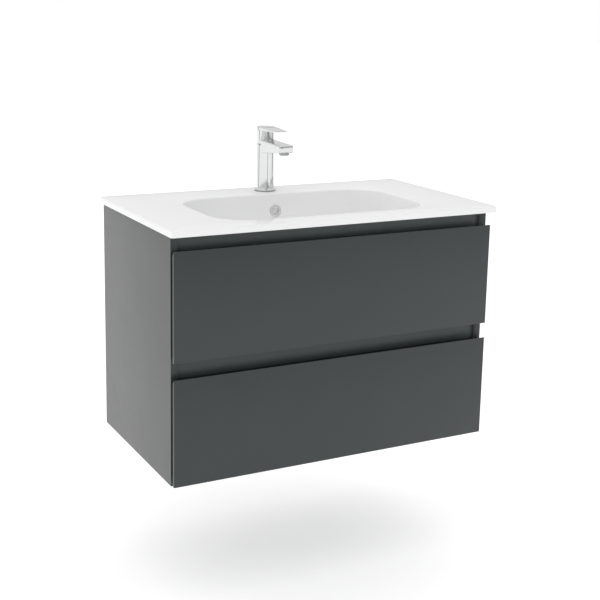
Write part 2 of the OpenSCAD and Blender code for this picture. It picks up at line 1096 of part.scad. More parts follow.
module tap_rotor() {
    low_h = bore_low_h + 1;
    rim_h = rotor_rim_h - low_h;
    color(steel)
        at_tap() {
            difference() {
                translate([0, 0, low_h])
                    rotate_extrude()
                        polygon([
                            [0, 0], [cartridge_r - turn_clear, 0], [cartridge_r - turn_clear, rim_h],
                            [rotor_dome_r, rim_h + 0.6 * rotor_dome_h], [rotor_top_r, rim_h + rotor_dome_h],
                            [0, rim_h + rotor_dome_h]
                        ]);
                block([-slot_x, slot_front_y, pivot_h - slot_drop], [slot_x, slot_back_y, spout_h]);
            }
            rod_x(pin_r, -slot_x - 1, slot_x + 1, pivot_back, pivot_h);
        }
}

// Cap, paddle and stem, which tilt together
stem_half = 4;
cap_roof = 14;
paddle_t = 10;
paddle_step = 0.8;
paddle_root_y = -6;
paddle_fall = 3;
paddle_taper = 1.5;
cap_inset_h = 4;
cut_reach = 2 * paddle_reach;

module tap_lever() {
    ceiling_h = cap_top_h - cap_roof;
    low_h = cap_top_h - paddle_t;
    root_x = tap_r - paddle_step;
    color(chrome)
        at_tap()
            difference() {
                union() {
                    intersection() {
                        cylinder(r = tap_r, h = cap_top_h);
                        above_plane(cap_front_h, cap_back_h);
                    }
                    difference() {
                        translate([0, 0, low_h])
                            linear_extrude(paddle_t)
                                polygon([
                                    [-root_x, paddle_root_y], [root_x, paddle_root_y],
                                    [paddle_tip_w / 2, -paddle_reach], [-paddle_tip_w / 2, -paddle_reach]
                                ]);
                        translate([0, 0, cap_top_h])
                            rotate([paddle_fall, 0, 0])
                                block([-tap_d, -cut_reach, 0], [tap_d, 0, 2 * paddle_t]);
                        translate([0, -tap_r, low_h])
                            rotate([-paddle_taper, 0, 0])
                                block([-tap_d, -cut_reach, -paddle_t], [tap_d, 0, 0]);
                    }
                }
                difference() {
                    intersection() {
                        translate([0, 0, -1])
                            cylinder(r = tap_r - cap_wall, h = ceiling_h + 1);
                        above_plane(cap_front_h - cap_inset_h, cap_back_h - cap_inset_h);
                    }
                    block([-stem_half, pivot_back - stem_half, 0],
                          [stem_half, pivot_back + stem_half, ceiling_h + 1]);
                }
            }
}

// Stud that clamps the tap to the basin from below
module tap_stud() {
    color(steel)
        at_tap()
            translate([0, stud_back, -stud_len])
                cylinder(r = stud_r, h = stud_len + gasket_t);
}

// Horseshoe washer and long nut under the basin
clamp_r = 24;
clamp_t = 3;
clamp_mouth = 30;
clamp_clear = 1;
clamp_nut_r = 7.5;
clamp_nut_h = 26;

module tap_clamp() {
    color(brass)
        at_tap()
            translate([0, 0, -basin_t - clamp_t]) {
                difference() {
                    cylinder(r = clamp_r, h = clamp_t);
                    block([-clamp_mouth / 2, -clamp_r - 1, -1],
                          [clamp_mouth / 2, stud_back - stud_r - clamp_t, clamp_t + 1]);
                    translate([0, stud_back, -1])
                        cylinder(r = stud_r, h = clamp_t + 2);
                }
                translate([0, stud_back, -clamp_nut_h])
                    difference() {
                        cylinder(r = clamp_nut_r, h = clamp_nut_h, $fn = 6);
                        translate([0, 0, -1])
                            cylinder(r = stud_r, h = clamp_nut_h + 2);
                    }
            }
}

side_panel_left();
side_panel_right();
bottom_panel();
back_rail_upper();
back_rail_lower();
grip_channel_upper();
grip_channel_middle();
channel_brackets();
cam_fasteners();
wood_dowels();
wall_rail();
wall_hanger_left();
wall_hanger_right();
hanger_screws();
wall_pads();
front_bumpers();
upper_runner_outer_left();
upper_runner_outer_right();
upper_runner_middle_left();
upper_runner_middle_right();
upper_runner_inner_left();
upper_runner_inner_right();
lower_runner_outer_left();
lower_runner_outer_right();
lower_runner_middle_left();
lower_runner_middle_right();
lower_runner_inner_left();
lower_runner_inner_right();
upper_drawer_front();
upper_drawer_side_left();
upper_drawer_side_right();
upper_drawer_backs();
upper_drawer_bottom();
upper_drawer_recess();
lower_drawer_front();
lower_drawer_side_left();
lower_drawer_side_right();
lower_drawer_back();
lower_drawer_bottom();
basin_deck();
basin_bowl();
overflow_ring();
waste_body();
waste_washer();
waste_nut();
waste_plug();
plug_seal();
trap_nut();
trap_dip_tube();
trap_body();
trap_cup();
trap_outlet_pipe();
wall_rosette();
tap_body();
tap_gasket();
tap_aerator();
tap_rotor();
tap_lever();
tap_stud();
tap_clamp();
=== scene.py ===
import json
import math

import bmesh
import bpy
from mathutils import Matrix, Vector


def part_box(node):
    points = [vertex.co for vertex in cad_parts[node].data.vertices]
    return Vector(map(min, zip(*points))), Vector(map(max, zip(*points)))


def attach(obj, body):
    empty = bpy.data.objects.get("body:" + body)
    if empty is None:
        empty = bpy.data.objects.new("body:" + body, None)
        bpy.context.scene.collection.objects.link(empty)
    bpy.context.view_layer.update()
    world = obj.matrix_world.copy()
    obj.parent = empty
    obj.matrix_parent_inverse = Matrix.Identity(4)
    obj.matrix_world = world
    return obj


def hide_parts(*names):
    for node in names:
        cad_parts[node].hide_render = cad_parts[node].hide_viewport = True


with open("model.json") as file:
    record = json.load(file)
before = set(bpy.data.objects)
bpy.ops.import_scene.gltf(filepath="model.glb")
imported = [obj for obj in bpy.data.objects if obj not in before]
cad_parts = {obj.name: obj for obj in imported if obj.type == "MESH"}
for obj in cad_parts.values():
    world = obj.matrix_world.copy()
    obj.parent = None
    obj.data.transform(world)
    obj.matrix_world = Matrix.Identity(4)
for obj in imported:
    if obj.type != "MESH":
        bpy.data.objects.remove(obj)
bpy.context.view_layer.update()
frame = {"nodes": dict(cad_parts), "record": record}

# A wall-hung vanity: a cabinet with two drawers, a basin with one bowl and a single-lever tap.
# The basin, the tap's body, its lever and the side panels are built here. All other pieces are the
# frame's own shapes with rounded edges.

NODE_BODY = {n: b for b, members in frame["record"]["behaviour"]["bodies"].items() for n in members}
NODE_SLOT = {s["node"]: s["material_slot"] for s in frame["record"]["subparts"]}
MM = 0.001
PAST = 50 * MM  # how far a cutter runs past what it cuts
JOIN = 0.5 * MM  # how far a joined solid reaches into its neighbour

# ---- Places taken from the frame ----

def middle(node):
    low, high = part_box(node)
    return (low + high) / 2


BASIN_LOW, BASIN_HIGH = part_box("basin_deck")
DECK_Z = BASIN_HIGH.z
TOP_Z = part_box("side_panel_left")[1].z
TAP_AXIS = middle("tap_gasket")
DRAIN_AXIS = middle("waste_body")
OVERFLOW_CENTRE = middle("overflow_ring")
OVERFLOW_FRONT_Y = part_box("overflow_ring")[0].y
DUCT_BACK_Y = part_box("basin_bowl")[1].y
WASTE_FLANGE_T = 2 * MM
BOWL_FLOOR_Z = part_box("waste_body")[1].z - WASTE_FLANGE_T

# ---- Sizes of the basin and the tap, as in the design ----

BOWL_W = 534 * MM
BOWL_LEN = 298 * MM
BOWL_CORNER = 85 * MM
BOWL_WALL = 10 * MM
BOWL_RIM_R = 5 * MM
BOWL_FLOOR_R = 48 * MM
UNDER_RIM_R = 0.5 * MM
UNDER_FLOOR_R = 56 * MM
WALL_SLOPE = 9  # degrees off plumb
CORNER_SHRINK = 0.6  # of the inset, taken off a corner's radius
SLAB_CORNER = 5 * MM
SLAB_EDGE_R = 2.5 * MM
SLAB_UNDER_EDGE = 1 * MM
SLAB_FILLET = 2 * MM  # where the bowl's outside meets the slab
DRAIN_R = 21.5 * MM
BOSS_R = 37 * MM
BOSS_H = 8 * MM
BOSS_DROP = 4 * MM  # its foot below the bowl's underside
DUCT_HALF_W = 28 * MM
DUCT_DROP = 36 * MM  # below the overflow's centre
DUCT_LOW_DEPTH = 27 * MM
DUCT_TOP_DEPTH = 15 * MM
DUCT_EDGE_R = 3 * MM
OVERFLOW_SEAT_R = 15.3 * MM
OVERFLOW_HOLE_R = 13 * MM
OVERFLOW_SEAT_T = 3 * MM
OVERFLOW_SHOWN = 3 * MM  # depth of the hole behind the ring
TAP_HOLE_R = 17.5 * MM

# Heights of the tap are above the deck, and its Y is from its own axis
COLUMN_R = 22 * MM
COLUMN_FILLET = 2 * MM
FLANGE_R = 27 * MM
FLANGE_LOW = 1 * MM
FLANGE_BEVEL = 0.5 * MM
FLANGE_SIDE = 3 * MM
FLANGE_EDGE_R = 1.5 * MM
ROOT_R = 16 * MM
ROOT_H = 13 * MM
CARTRIDGE_R = 17.6 * MM
CARTRIDGE_LOW = 85 * MM
SPOUT_TOP = 127 * MM
SPOUT_FALL = 3 * MM
SPOUT_REACH = 113 * MM
SPOUT_W = 38 * MM
SPOUT_ROOT_T = 31 * MM
SPOUT_TIP_T = 21 * MM
SPOUT_EDGE_R = 2.2 * MM
SPOUT_START_Y = -5 * MM
SPOUT_ROOT_RISE = 1 * MM
COLUMN_TOP = SPOUT_TOP - 4 * MM
AERATOR_SETBACK = 12 * MM
AERATOR_POCKET_R = 12 * MM
AERATOR_POCKET_TOP = 111 * MM
INLET_R = 4.5 * MM
INLET_X = 8.5 * MM
INLET_Y = -4 * MM
STUD_R = 4 * MM
STUD_Y = 11 * MM
FIXING_TOP = 1 * MM  # where the holes for the inlets and the stud end
SEAT_FRONT = SPOUT_TOP - 14 * MM
SEAT_BACK = SPOUT_TOP - 10 * MM
SEAT_MARGIN = 0.6 * MM
CAP_FRONT = SPOUT_TOP - 12.8 * MM
CAP_BACK = SPOUT_TOP
CAP_MARGIN = 5 * MM
CAP_HOLLOW_R = 19 * MM
CAP_EDGE_R = 1 * MM
LEVER_TOP = SPOUT_TOP + 34 * MM
CAP_TOP = LEVER_TOP - 2 * MM
CAP_CEILING = LEVER_TOP - 14 * MM
CAP_BLANK_LOW = 100 * MM
PADDLE_ROOT_Y = -6 * MM
PADDLE_ROOT_HALF = COLUMN_R - 0.8 * MM
PADDLE_ROOT_DROP = 2.2 * MM
PADDLE_TIP_DROP = 5.5 * MM
PADDLE_TIP_UNDER = 8.6 * MM
PADDLE_REACH = 85 * MM
PADDLE_HALF_TIP = 15 * MM
PADDLE_T = 10 * MM
STEM_HALF = 4 * MM
STEM_Y = 6 * MM
STEM_LOW = 108 * MM

BEVEL = 0.6 * MM
FINE_BEVEL = 0.25 * MM
PANEL_BEVEL = 0.5 * MM


# ---- Mesh helpers ----

def add_object(name, bm):
    """A new object from a bmesh, with its normals outwards."""
    bmesh.ops.recalc_face_normals(bm, faces=bm.faces)
    mesh = bpy.data.meshes.new(name)
    bm.to_mesh(mesh)
    bm.free()
    piece = bpy.data.objects.new(name, mesh)
    bpy.context.scene.collection.objects.link(piece)
    return piece


def lathe(name, profile, segments=96):
    """A solid turned about Z from (radius, height) points that start and end on the axis or join up."""
    bm = bmesh.new()
    rings = []
    for radius, height in profile:
        if radius < 1e-7:
            rings.append([bm.verts.new((0, 0, height))])
            continue
        angles = [2 * math.pi * i / segments for i in range(segments)]
        rings.append([bm.verts.new((radius * math.cos(a), radius * math.sin(a), height)) for a in angles])
    closed = len(rings[0]) > 1 and len(rings[-1]) > 1
    pairs = list(zip(rings, rings[1:])) + ([(rings[-1], rings[0])] if closed else [])
    for low, high in pairs:
        for i in range(segments):
            j = (i + 1) % segments
            corners = [low[i % len(low)], low[j % len(low)], high[j % len(high)], high[i % len(high)]]
            bm.faces.new(list(dict.fromkeys(corners)))
    return add_object(name, bm)


def rod(name, radius, low, high, segments=96):
    """A solid cylinder about Z."""
    return lathe(name, [(0, low), (radius, low), (radius, high), (0, high)], segments)


def quarter_turn(steps, first=0):
    return [math.pi / 2 * i / steps for i in range(first, steps + 1)]


def prism(name, outline, low, high, axis="X"):
    """An outline extruded along X (points are y, z) or along Z (points are x, y)."""
    bm = bmesh.new()
    place = (lambda p, d: (d, p[0], p[1])) if axis == "X" else (lambda p, d: (p[0], p[1], d))
    ends = [[bm.verts.new(place(p, d)) for p in outline] for d in (low, high)]
    bm.faces.new(ends[0])
    bm.faces.new(ends[1][::-1])
    for i in range(len(outline)):
        j = (i + 1) % len(outline)
        bm.faces.new([ends[0][i], ends[0][j], ends[1][j], ends[1][i]])
    return add_object(name, bm)


def bake(piece):
    """Applies the modifiers of a piece."""
    graph = bpy.context.evaluated_depsgraph_get()
    mesh = bpy.data.meshes.new_from_object(piece.evaluated_get(graph))
    piece.modifiers.clear()
    piece.data = mesh
    return piece


def combine(piece, other, operation):
    """Adds the other solid to the piece, cuts it away, or keeps what they share."""
    modifier = piece.modifiers.new("combine", "BOOLEAN")
    modifier.object = other
    modifier.operation = operation
    modifier.solver = "EXACT"
    bpy.context.view_layer.update()
    bake(piece)
    bpy.data.objects.remove(other)
    return piece


def dissolve_flat(piece, degrees=1.0):
    bm = bmesh.new()
    bm.from_mesh(piece.data)
    bmesh.ops.remove_doubles(bm, verts=bm.verts, dist=2e-6)
    bmesh.ops.dissolve_limit(bm, angle_limit=math.radians(degrees), verts=bm.verts, edges=bm.edges)
    bm.to_mesh(piece.data)
    bm.free()
    return piece


def round_edges(piece, width, segments=3, degrees=32):
    """Rounds every edge that turns by more than an angle."""
    modifier = piece.modifiers.new("round", "BEVEL")
    modifier.width = width
    modifier.segments = segments
    modifier.limit_method = "ANGLE"
    modifier.angle_limit = math.radians(degrees)
    modifier.use_clamp_overlap = True
    modifier.miter_outer = "MITER_ARC"
    return bake(piece)


def shade_smooth(piece, degrees=32):
    for polygon in piece.data.polygons:
        polygon.use_smooth = True
    piece.data.set_sharp_from_angle(angle=math.radians(degrees))
    return piece


def move(piece, offset):
    piece.data.transform(Matrix.Translation(offset))
    return piece


def settle(piece, material, *nodes):
    """Paints a piece, seats it on the body of the nodes that it stands for and hides them."""
    piece.data.materials.clear()
    piece.data.materials.append(material)
    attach(piece, NODE_BODY[nodes[0]])
    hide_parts(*nodes)
    return piece


def refine(node, material, width=BEVEL, segments=3, degrees=32):
    """The CAD node's own shape with merged flat faces and rounded edges."""
    source = frame["nodes"][node]
    piece = bpy.data.objects.new(node + "_finished", source.data.copy())
    bpy.context.scene.collection.objects.link(piece)
    dissolve_flat(piece)
    round_edges(piece, width, segments, degrees)
    shade_smooth(piece, degrees)
    return settle(piece, material, node)


# ---- Materials ----

class Paint:
    """A node material under construction, around one Principled shader."""

    def __init__(self, name, **values):
        self.material = bpy.data.materials.new(name)
        self.material.use_nodes = True
        self.nodes = self.material.node_tree.nodes
        self.links = self.material.node_tree.links
        self.shader = self.nodes["Principled BSDF"]
        for socket, value in values.items():
            self.shader.inputs[socket.replace("_", " ")].default_value = value
        self.coordinates = self.nodes.new("ShaderNodeTexCoord").outputs["Object"]

    def noise(self, scale, stretch=(1, 1, 1), detail=3.0, roughness=0.5):
        mapping = self.nodes.new("ShaderNodeMapping")
        mapping.inputs["Scale"].default_value = stretch
        self.links.new(self.coordinates, mapping.inputs["Vector"])
        noise = self.nodes.new("ShaderNodeTexNoise")
        noise.inputs["Scale"].default_value = scale
        noise.inputs["Detail"].default_value = detail
        noise.inputs["Roughness"].default_value = roughness
        self.links.new(mapping.outputs["Vector"], noise.inputs["Vector"])
        return noise.outputs["Fac"]

    def ramp(self, factor, stops):
        ramp = self.nodes.new("ShaderNodeValToRGB")
        elements = ramp.color_ramp.elements
        while len(elements) < len(stops):
            elements.new(0.5)
        for element, (place, colour) in zip(elements, stops):
            element.position = place
            element.color = (*colour, 1.0)
        self.links.new(factor, ramp.inputs["Fac"])
        return ramp.outputs["Color"]

    def spread(self, factor, low, high):
        """Maps a factor to a range of plain values."""
        spread = self.nodes.new("ShaderNodeMapRange")
        spread.inputs["To Min"].default_value = low
        spread.inputs["To Max"].default_value = high
        self.links.new(factor, spread.inputs["Value"])
        return spread.outputs["Result"]

    def colour(self, factor, low, high):
        self.links.new(self.ramp(factor, [(0.3, low), (0.7, high)]), self.shader.inputs["Base Color"])

    def roughness(self, factor, low, high):
        self.links.new(self.spread(factor, low, high), self.shader.inputs["Roughness"])

    def bump(self, factor, distance, strength=1.0):
        bump = self.nodes.new("ShaderNodeBump")
        bump.inputs["Distance"].default_value = distance
        bump.inputs["Strength"].default_value = strength
        self.links.new(factor, bump.inputs["Height"])
        last = self.shader.inputs["Normal"].links
        if last:
            self.links.new(last[0].from_socket, bump.inputs["Normal"])
        self.links.new(bump.outputs["Normal"], self.shader.inputs["Normal"])


def shade(colour, factor):
    return tuple(c * factor for c in colour)


def lacquer(name, colour, roughness, ior=1.5):
    paint = Paint(name, IOR=ior)
    paint.colour(paint.noise(9, detail=4), shade(colour, 0.97), shade(colour, 1.03))
    paint.roughness(paint.noise(40), roughness - 0.03, roughness + 0.04)
    paint.bump(paint.noise(900, detail=2), 0.02 * MM, 0.5)
    return paint.material


def glaze(name):
    paint = Paint(name, IOR=1.42)
    paint.colour(paint.noise(6, detail=4), (0.845, 0.85, 0.85), (0.875, 0.875, 0.872))
    paint.roughness(paint.noise(60), 0.09, 0.14)
    paint.bump(paint.noise(25, detail=1), 0.03 * MM, 0.4)
    return paint.material


def chrome(name):
    paint = Paint(name, Metallic=1.0)
    paint.colour(paint.noise(30, detail=4), (0.65, 0.66, 0.66), (0.70, 0.705, 0.705))
    paint.roughness(paint.noise(80), 0.03, 0.07)
    paint.bump(paint.noise(60, detail=1), 0.01 * MM, 0.3)
    return paint.material


def brushed(name, colour, stretch, roughness=0.35):
    paint = Paint(name, Metallic=1.0)
    grain = paint.noise(60, stretch, detail=5, roughness=0.7)
    paint.colour(grain, shade(colour, 0.85), shade(colour, 1.1))
    paint.roughness(grain, roughness - 0.1, roughness + 0.12)
    paint.bump(grain, 0.03 * MM, 0.4)
    return paint.material


def board(name, dark, light, stretch, roughness=0.45):
    paint = Paint(name, IOR=1.47)
    grain = paint.noise(35, stretch, detail=6, roughness=0.6)
    paint.colour(grain, dark, light)
    paint.roughness(grain, roughness - 0.06, roughness + 0.08)
    paint.bump(grain, 0.05 * MM, 0.4)
    return paint.material


def moulded(name, colour, roughness, grain_scale=700, depth=0.04 * MM):
    paint = Paint(name, IOR=1.46)
    paint.colour(paint.noise(15, detail=4), shade(colour, 0.93), shade(colour, 1.05))
    paint.roughness(paint.noise(50), roughness - 0.05, roughness + 0.05)
    paint.bump(paint.noise(grain_scale, detail=2), depth, 0.6)
    return paint.material


LACQUER = (0.027, 0.034, 0.034)
# The side grey is the fronts' dark lacquer painted lighter: painted light for the sides lit from the left.
SIDE_LIT_GREY = (0.134, 0.138, 0.136)
MATERIALS = {
    # Painted light: the lacquer slot gets a lighter copy of the lacquer, for faces lit from the left.
    "lacquer": lacquer("side_lacquer_painted_light", SIDE_LIT_GREY, 0.46, 1.4),
    "front": lacquer("front_lacquer", LACQUER, 0.38),
    # Painted light: the channel's coat is the fronts' lacquer made 1.7 times lighter, making up for the shade
    # under the basin's overhang.
    "channel": lacquer("channel_coat_painted_light", shade(LACQUER, 1.7), 0.42),
    "board": board("carcass_board", (0.075, 0.08, 0.081), (0.095, 0.1, 0.101), (1, 14, 14)),
    "drawer_box": board("drawer_board", (0.40, 0.395, 0.38), (0.50, 0.49, 0.47), (14, 1, 14)),
    "beech": board("beech_wood", (0.52, 0.37, 0.22), (0.68, 0.50, 0.32), (1, 20, 20), 0.6),
    "zinc": brushed("zinc_plate", (0.60, 0.61, 0.62), (1, 9, 9)),
    "runner": brushed("rolled_steel", (0.62, 0.63, 0.65), (12, 0.6, 12), 0.3),
    "steel": brushed("turned_steel", (0.58, 0.58, 0.59), (1, 1, 14), 0.3),
    "brass": brushed("turned_brass", (0.72, 0.54, 0.27), (1, 1, 14), 0.28),
    "hanger": moulded("hanger_plastic", (0.68, 0.69, 0.70), 0.5),
    "recess_liner": moulded("liner_plastic", (0.42, 0.43, 0.44), 0.5),
    "rubber": moulded("black_rubber", (0.028, 0.028, 0.028), 0.75, 300, 0.08 * MM),
    "glaze": glaze("white_glaze"),
    "chrome": chrome("polished_chrome"),
}
AERATOR_METAL = brushed("aerator_nickel", (0.40, 0.405, 0.41), (1, 1, 8), 0.4)


# ---- Basin ----

def ring_points(half_x, half_y, corner, centre_y, corner_steps=12, long_steps=18, short_steps=10):
    """A rounded rectangle with the same number of points whatever its size, counter-clockwise."""
    corner = min(corner, half_x, half_y)
    hubs = [(sign_x * (half_x - corner), sign_y * (half_y - corner))
            for sign_x, sign_y in ((1, 1), (-1, 1), (-1, -1), (1, -1))]

    def on_corner(quadrant, angle):
        hub = hubs[quadrant % 4]
        return (hub[0] + corner * math.cos(angle), hub[1] + corner * math.sin(angle))

    points = []
    for quadrant, steps in enumerate((long_steps, short_steps, long_steps, short_steps)):
        arc = [math.pi / 2 * (quadrant + i / corner_steps) for i in range(corner_steps + 1)]
        points += [on_corner(quadrant, a) for a in arc]
        start, end = points[-1], on_corner(quadrant + 1, arc[-1])
        for i in range(1, steps):
            t = i / steps
            points.append((start[0] + t * (end[0] - start[0]), start[1] + t * (end[1] - start[1])))
    return [(x, y + centre_y) for x, y in points]


def towards_drain(points, centre, share):
    """Moves a ring's points by a share from 0 to 1 to where their rays meet the drain's circle."""
    moved = []
    for x, y in points:
        dx, dy = x - centre[0], y - centre[1]
        angle = math.atan2(dy, dx)
        moved.append((centre[0] + dx * (1 - share) + share * DRAIN_R * math.cos(angle),
                      centre[1] + dy * (1 - share) + share * DRAIN_R * math.sin(angle)))
    return moved


def bowl_profile(depth, rim_r, floor_r, slope_degrees):
    """(inset from the rim's outline, drop below the rim) from the deck to where the floor turns flat."""
    slope = math.radians(slope_degrees)
    points = []
    rim_steps, wall_steps, arc_steps = 6, 4, 10
    for i in range(rim_steps + 1):
        a = (math.pi / 2 - slope) * i / rim_steps
        points.append((-rim_r + rim_r * math.sin(a), rim_r * (1 - math.cos(a))))
    inset, drop = points[-1]
    floor_start = depth - floor_r * (1 - math.sin(slope))
    for i in range(1, wall_steps + 1):
        d = drop + (floor_start - drop) * i / wall_steps
        points.append((inset + (d - drop) * math.tan(slope), d))
    inset, drop = points[-1]
    for i in range(1, arc_steps + 1):
        a = slope + (math.pi / 2 - slope) * i / arc_steps
        points.append((inset + floor_r * (math.cos(slope) - math.cos(a)),
                       drop + floor_r * (math.sin(a) - math.sin(slope))))
    return points


def basin_shell():
    """The slab and the bowl as one closed loop of rings, from the underside over the rim to the drain."""
    bm = bmesh.new()
    centre = (0.0, DRAIN_AXIS.y)
    depth = DECK_Z - BOWL_FLOOR_Z
    slab_half_x = (BASIN_HIGH.x - BASIN_LOW.x) / 2
    slab_half_y = (BASIN_HIGH.y - BASIN_LOW.y) / 2
    slab_y = (BASIN_HIGH.y + BASIN_LOW.y) / 2
    rings = []

    def add_ring(points, z):
        rings.append([bm.verts.new((x, y, z)) for x, y in points])

    def slab_ring(inset, z):
        add_ring(ring_points(slab_half_x - inset, slab_half_y - inset, SLAB_CORNER - inset, slab_y), z)

    def bowl_ring(inset, wall):
        """The bowl's outline at an inset from its rim, inside (wall 0) or outside its wall."""
        return ring_points(BOWL_W / 2 + wall - inset, BOWL_LEN / 2 + wall - inset,
                           BOWL_CORNER + wall - CORNER_SHRINK * inset, centre[1])

    inner = bowl_profile(depth, BOWL_RIM_R, BOWL_FLOOR_R, WALL_SLOPE)
    outer = bowl_profile(depth + BOWL_WALL, UNDER_RIM_R, UNDER_FLOOR_R, WALL_SLOPE)
    below_slab = [(inset, drop) for inset, drop in outer if DECK_Z - drop <= TOP_Z]

    # Up the outside of the bowl and out under the slab
    for inset, drop in reversed(below_slab):
        add_ring(bowl_ring(inset, BOWL_WALL), DECK_Z - drop)
    inset = below_slab[0][0] - SLAB_FILLET
    add_ring(ring_points(BOWL_W / 2 + BOWL_WALL - inset, BOWL_LEN / 2 + BOWL_WALL - inset,
                         BOWL_CORNER + BOWL_WALL, centre[1]), TOP_Z)
    for inset, rise in ((1, 0), (0.3, 0.3), (0, 1)):
        slab_ring(inset * SLAB_UNDER_EDGE, TOP_Z + rise * SLAB_UNDER_EDGE)
    for a in quarter_turn(5):
        slab_ring(SLAB_EDGE_R * (1 - math.cos(a)), DECK_Z - SLAB_EDGE_R + SLAB_EDGE_R * math.sin(a))

    # Across the deck, over the rim and down the inside of the bowl
    for inset, drop in inner:
        add_ring(bowl_ring(inset, 0), DECK_Z - drop)
    for share in (0.2, 0.4, 0.6, 0.8, 1.0):
        add_ring(towards_drain(bowl_ring(inner[-1][0], 0), centre, share), BOWL_FLOOR_Z)

    # Down through the drain and back out under the floor
    for share in (1.0, 0.8, 0.5, 0.25):
        add_ring(towards_drain(bowl_ring(outer[-1][0], BOWL_WALL), centre, share), BOWL_FLOOR_Z - BOWL_WALL)
    count = len(rings[0])
    for low, high in zip(rings, rings[1:] + rings[:1]):
        for i in range(count):
            j = (i + 1) % count
            bm.faces.new([low[i], low[j], high[j], high[i]])
    return add_object("basin_glazed", bm)


def build_basin():
    basin = basin_shell()
    hole = rod("tap_hole", TAP_HOLE_R, -PAST, PAST, 64)
    combine(basin, move(hole, (TAP_AXIS.x, TAP_AXIS.y, DECK_Z)), "DIFFERENCE")

    duct_low, duct_top = OVERFLOW_CENTRE.z - DUCT_DROP, TOP_Z + JOIN
    duct = prism("duct", [(DUCT_BACK_Y - DUCT_LOW_DEPTH, duct_low), (DUCT_BACK_Y, duct_low),
                          (DUCT_BACK_Y, duct_top), (DUCT_BACK_Y - DUCT_TOP_DEPTH, duct_top)],
                 -DUCT_HALF_W, DUCT_HALF_W)
    round_edges(duct, DUCT_EDGE_R)
    combine(basin, duct, "UNION")

    boss = rod("waste_seat", BOSS_R, 0, BOSS_H)
    combine(boss, rod("drain", DRAIN_R, -PAST, PAST), "DIFFERENCE")
    combine(basin, move(boss, (0, DRAIN_AXIS.y, BOWL_FLOOR_Z - BOWL_WALL - BOSS_DROP)), "UNION")

    seat = lathe("overflow_seat", [(0, -PAST), (OVERFLOW_SEAT_R, -PAST), (OVERFLOW_SEAT_R, 0),
                                   (OVERFLOW_HOLE_R, 0), (OVERFLOW_HOLE_R, OVERFLOW_SHOWN),
                                   (0, OVERFLOW_SHOWN)], 64)
    seat.data.transform(Matrix.Rotation(math.radians(-90), 4, "X"))
    combine(basin, move(seat, (0, OVERFLOW_FRONT_Y + OVERFLOW_SEAT_T, OVERFLOW_CENTRE.z)), "DIFFERENCE")
    shade_smooth(basin, 35)
    return settle(basin, MATERIALS["glaze"], "basin_deck", "basin_bowl")


# ---- Tap ----

def slanted_cut(name, front_z, back_z, radius):
    """A solid that fills a cylinder above a plane through two heights at the column's front and back."""
    cutter = rod(name, radius, front_z - PAST, LEVER_TOP + PAST)
    bm = bmesh.new()
    bm.from_mesh(cutter.data)
    slope = Vector((0, 2 * COLUMN_R, back_z - front_z))
    normal = Vector((1, 0, 0)).cross(slope)
    result = bmesh.ops.bisect_plane(bm, geom=bm.verts[:] + bm.edges[:] + bm.faces[:], dist=1e-7,
                                    plane_co=(0, 0, (front_z + back_z) / 2), plane_no=normal,
                                    clear_inner=True)
    edges = [e for e in result["geom_cut"] if isinstance(e, bmesh.types.BMEdge)]
    bmesh.ops.contextual_create(bm, geom=edges)
    bmesh.ops.recalc_face_normals(bm, faces=bm.faces)
    bm.to_mesh(cutter.data)
    bm.free()
    return cutter


def at_tap(piece):
    return move(piece, (TAP_AXIS.x, TAP_AXIS.y, DECK_Z))


def build_tap_body():
    edge_low = FLANGE_LOW + FLANGE_SIDE
    flange_top = edge_low + FLANGE_EDGE_R
    profile = [(0, -ROOT_H), (ROOT_R, -ROOT_H), (ROOT_R, FLANGE_LOW), (FLANGE_R - FLANGE_BEVEL, FLANGE_LOW),
               (FLANGE_R, FLANGE_LOW + FLANGE_BEVEL), (FLANGE_R, edge_low)]
    for a in quarter_turn(5, 1):
        profile.append((FLANGE_R - FLANGE_EDGE_R * (1 - math.cos(a)), edge_low + FLANGE_EDGE_R * math.sin(a)))
    for a in quarter_turn(5):
        profile.append((COLUMN_R + COLUMN_FILLET * (1 - math.sin(a)),
                        flange_top + COLUMN_FILLET * (1 - math.cos(a))))
    profile += [(COLUMN_R, COLUMN_TOP), (0, COLUMN_TOP)]
    body = lathe("tap_body_cast", profile)

    root_low = SPOUT_TOP - SPOUT_ROOT_T
    spout = prism("spout", [
        (SPOUT_START_Y, root_low), (-COLUMN_R, root_low + SPOUT_ROOT_RISE),
        (-SPOUT_REACH, SPOUT_TOP - SPOUT_TIP_T), (-SPOUT_REACH, SPOUT_TOP - SPOUT_FALL),
        (-COLUMN_R, SPOUT_TOP), (SPOUT_START_Y, SPOUT_TOP)],
        -SPOUT_W / 2, SPOUT_W / 2)
    round_edges(spout, SPOUT_EDGE_R, 4)
    combine(body, spout, "UNION")
    combine(body, slanted_cut("seat", SEAT_FRONT, SEAT_BACK, COLUMN_R + SEAT_MARGIN), "DIFFERENCE")
    combine(body, rod("bore", CARTRIDGE_R, CARTRIDGE_LOW, SPOUT_TOP + PAST), "DIFFERENCE")

    pocket = rod("pocket", AERATOR_POCKET_R, AERATOR_POCKET_TOP - PAST, AERATOR_POCKET_TOP, 64)
    combine(body, move(pocket, (0, -SPOUT_REACH + AERATOR_SETBACK, 0)), "DIFFERENCE")
    for name, radius, x, y in (("inlet", INLET_R, -INLET_X, INLET_Y), ("inlet", INLET_R, INLET_X, INLET_Y),
                               ("stud", STUD_R, 0, STUD_Y)):
        combine(body, move(rod(name, radius, -PAST, FIXING_TOP, 40), (x, y, 0)), "DIFFERENCE")
    shade_smooth(body, 30)
    return settle(at_tap(body), MATERIALS["chrome"], "tap_body")


